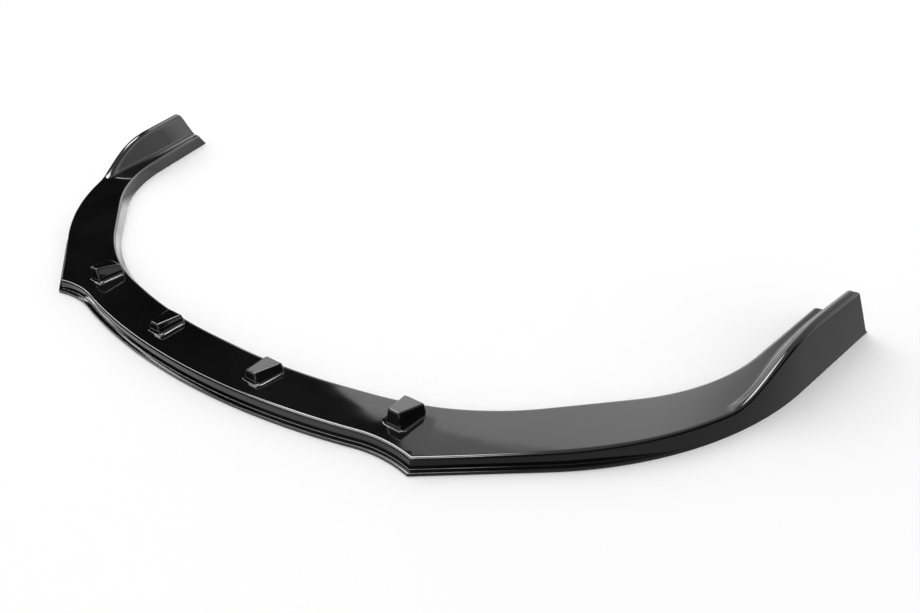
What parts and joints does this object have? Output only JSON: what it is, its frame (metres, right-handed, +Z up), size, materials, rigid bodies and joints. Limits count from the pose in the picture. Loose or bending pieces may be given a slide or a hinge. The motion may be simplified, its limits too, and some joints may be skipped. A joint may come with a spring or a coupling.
{
  "type": "front splitter lip",
  "caption": "One-piece front splitter lip: a U-shaped plate with a turned-down rim, a bowed front between crisp corners, raised rear winglets and wedge bosses that meet the bumper.",
  "frame": {"origin": "on the floor, under the middle of the part's width and depth", "axes": "+X to the car's left as the part is seen from the front with +X to the right, +Y towards the car's rear, +Z up"},
  "size_m": [1.7546, 0.6834, 0.088],
  "materials": {
    "gloss_black": "gloss"
  },
  "bodies": {
    "root": {"splitter_lip": "gloss_black"}
  },
  "joints": []
}
